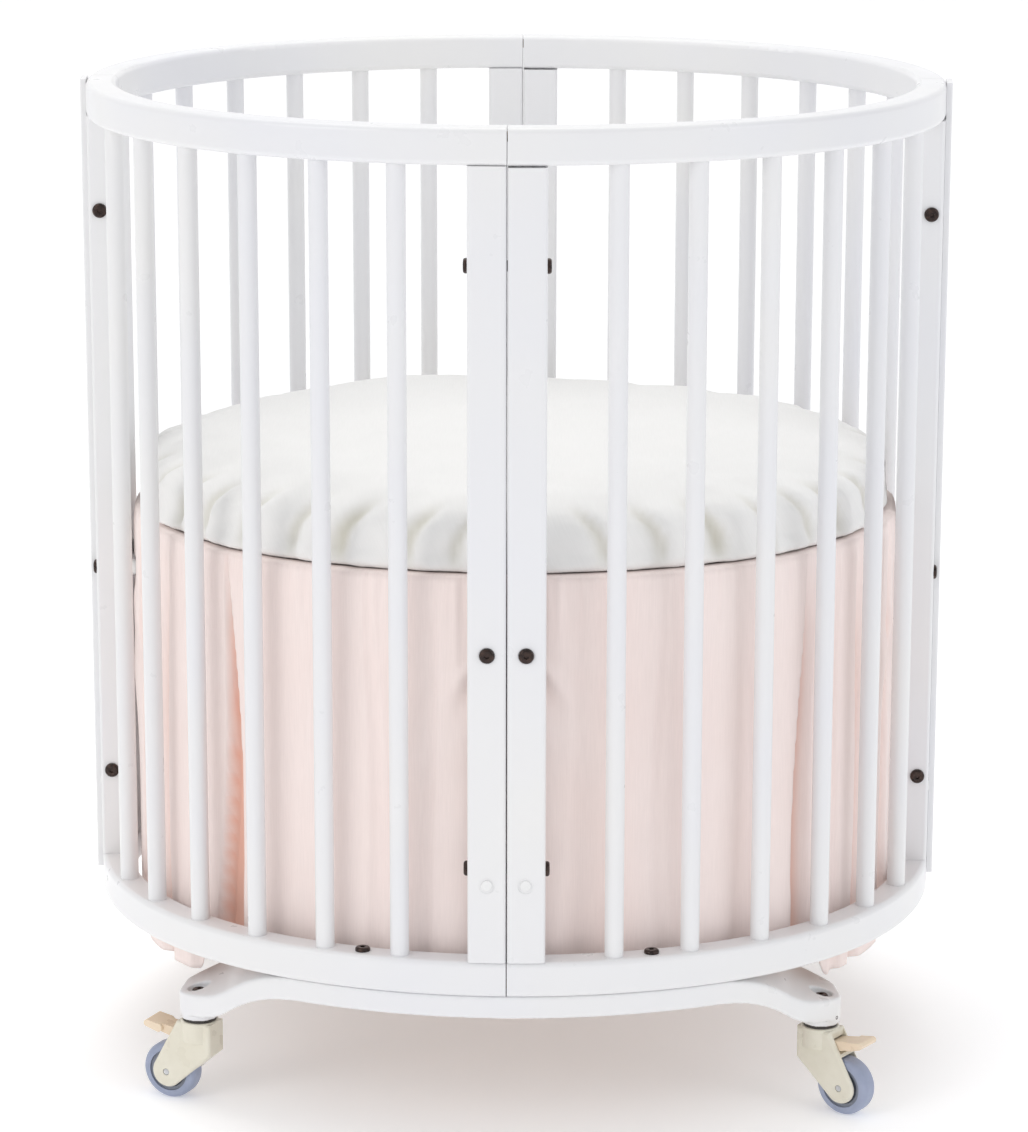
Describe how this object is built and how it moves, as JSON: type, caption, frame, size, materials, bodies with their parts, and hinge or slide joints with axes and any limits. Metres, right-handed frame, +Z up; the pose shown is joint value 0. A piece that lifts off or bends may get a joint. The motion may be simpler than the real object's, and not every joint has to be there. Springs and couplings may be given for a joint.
{
  "type": "baby crib",
  "caption": "Oval baby crib with round wooden slats between two rails, flat posts at the joints, a sheeted mattress over a gathered bed skirt, and two bowed legs on braked casters",
  "frame": {"origin": "on the floor, under the middle of the oval", "axes": "+X along the oval's long axis to the crib's right, +Y from front to back, +Z up; the front faces -Y"},
  "size_m": [0.75, 0.6752, 0.862],
  "materials": {
    "white_lacquer": "satin white lacquer over beech",
    "beech": "clear sealed birch plywood and beech",
    "bronze_steel": "dark bronze coated steel",
    "zinc_steel": "zinc plated",
    "white_plastic": "moulded, matte",
    "mattress_ticking": "woven ticking over foam",
    "white_cotton": "soft percale cotton",
    "pink_cotton": "plain woven cotton, gathered",
    "cream_plastic": "semi gloss nylon",
    "peach_plastic": "semi gloss nylon",
    "dark_plastic": "matte",
    "grey_plastic": "moulded, matte",
    "grey_tyre": "soft non-marking tread"
  },
  "bodies": {
    "frame": {"top_rail_front_left": "white_lacquer", "bottom_rail_front_left": "white_lacquer", "slats_front_left": "white_lacquer", "side_post_front_left": "white_lacquer", "end_post_front_left": "white_lacquer", "top_rail_front_right": "white_lacquer", "bottom_rail_front_right": "white_lacquer", "slats_front_right": "white_lacquer", "side_post_front_right": "white_lacquer", "end_post_front_right": "white_lacquer", "top_rail_rear_left": "white_lacquer", "bottom_rail_rear_left": "white_lacquer", "slats_rear_left": "white_lacquer", "side_post_rear_left": "white_lacquer", "end_post_rear_left": "white_lacquer", "top_rail_rear_right": "white_lacquer", "bottom_rail_rear_right": "white_lacquer", "slats_rear_right": "white_lacquer", "side_post_rear_right": "white_lacquer", "end_post_rear_right": "white_lacquer", "end_strips": "white_lacquer", "leg_front": "white_lacquer", "leg_rear": "white_lacquer", "hole_plugs": "white_plastic", "joint_bolts": "bronze_steel", "joint_sleeve_nuts": "bronze_steel", "base_bolts": "bronze_steel", "leg_bolts": "bronze_steel", "hub_bolts": "bronze_steel", "base_brackets": "zinc_steel", "base_screws": "zinc_steel", "caster_stems": "zinc_steel", "base_spacers": "white_plastic", "rail_dowels": "beech", "base_board": "beech", "bed_skirt": "pink_cotton", "swivel_rings": "dark_plastic"},
    "mattress": {"mattress": "mattress_ticking", "fitted_sheet": "white_cotton"},
    "caster_front_left": {"caster_housing_front_left": "cream_plastic", "axle_front_left": "zinc_steel"},
    "wheel_front_left": {"wheel_front_left": "grey_plastic", "tyre_front_left": "grey_tyre"},
    "brake_front_left": {"brake_lever_front_left": "peach_plastic"},
    "caster_front_right": {"caster_housing_front_right": "cream_plastic", "axle_front_right": "zinc_steel"},
    "wheel_front_right": {"wheel_front_right": "grey_plastic", "tyre_front_right": "grey_tyre"},
    "brake_front_right": {"brake_lever_front_right": "peach_plastic"},
    "caster_rear_left": {"caster_housing_rear_left": "cream_plastic", "axle_rear_left": "zinc_steel"},
    "wheel_rear_left": {"wheel_rear_left": "grey_plastic", "tyre_rear_left": "grey_tyre"},
    "brake_rear_left": {"brake_lever_rear_left": "peach_plastic"},
    "caster_rear_right": {"caster_housing_rear_right": "cream_plastic", "axle_rear_right": "zinc_steel"},
    "wheel_rear_right": {"wheel_rear_right": "grey_plastic", "tyre_rear_right": "grey_tyre"},
    "brake_rear_right": {"brake_lever_rear_right": "peach_plastic"}
  },
  "joints": [
    {"name": "mattress_lift", "type": "slide", "parent": "frame", "child": "mattress", "axis": [0, 0, 1], "range_m": [0, 0.4]},
    {"name": "swivel_front_left", "type": "hinge", "parent": "frame", "child": "caster_front_left", "pos_m": [-0.267, -0.203, 0.065], "axis": [0, 0, 1], "continuous": true},
    {"name": "wheel_spin_front_left", "type": "hinge", "parent": "caster_front_left", "child": "wheel_front_left", "pos_m": [-0.29167, -0.19202, 0.025], "axis": [-0.4067, -0.9135, 0], "continuous": true},
    {"name": "brake_press_front_left", "type": "hinge", "parent": "caster_front_left", "child": "brake_front_left", "pos_m": [-0.28344, -0.19568, 0.06], "axis": [-0.4067, -0.9135, 0], "range_deg": [0, 12]},
    {"name": "swivel_front_right", "type": "hinge", "parent": "frame", "child": "caster_front_right", "pos_m": [0.267, -0.203, 0.065], "axis": [0, 0, 1], "continuous": true},
    {"name": "wheel_spin_front_right", "type": "hinge", "parent": "caster_front_right", "child": "wheel_front_right", "pos_m": [0.28912, -0.21849, 0.025], "axis": [0.5736, 0.8192, 0], "continuous": true},
    {"name": "brake_press_front_right", "type": "hinge", "parent": "caster_front_right", "child": "brake_front_right", "pos_m": [0.28175, -0.21332, 0.06], "axis": [0.5736, 0.8192, 0], "range_deg": [0, 12]},
    {"name": "swivel_rear_left", "type": "hinge", "parent": "frame", "child": "caster_rear_left", "pos_m": [-0.267, 0.203, 0.065], "axis": [0, 0, 1], "continuous": true},
    {"name": "wheel_spin_rear_left", "type": "hinge", "parent": "caster_rear_left", "child": "wheel_rear_left", "pos_m": [-0.29237, 0.19376, 0.025], "axis": [0.342, -0.9397, 0], "continuous": true},
    {"name": "brake_press_rear_left", "type": "hinge", "parent": "caster_rear_left", "child": "brake_rear_left", "pos_m": [-0.28391, 0.19684, 0.06], "axis": [0.342, -0.9397, 0], "range_deg": [0, 12]},
    {"name": "swivel_rear_right", "type": "hinge", "parent": "frame", "child": "caster_rear_right", "pos_m": [0.267, 0.203, 0.065], "axis": [0, 0, 1], "continuous": true},
    {"name": "wheel_spin_rear_right", "type": "hinge", "parent": "caster_rear_right", "child": "wheel_rear_right", "pos_m": [0.29084, 0.21568, 0.025], "axis": [-0.4695, 0.8829, 0], "continuous": true},
    {"name": "brake_press_rear_right", "type": "hinge", "parent": "caster_rear_right", "child": "brake_rear_right", "pos_m": [0.28289, 0.21145, 0.06], "axis": [-0.4695, 0.8829, 0], "range_deg": [0, 12]}
  ]
}
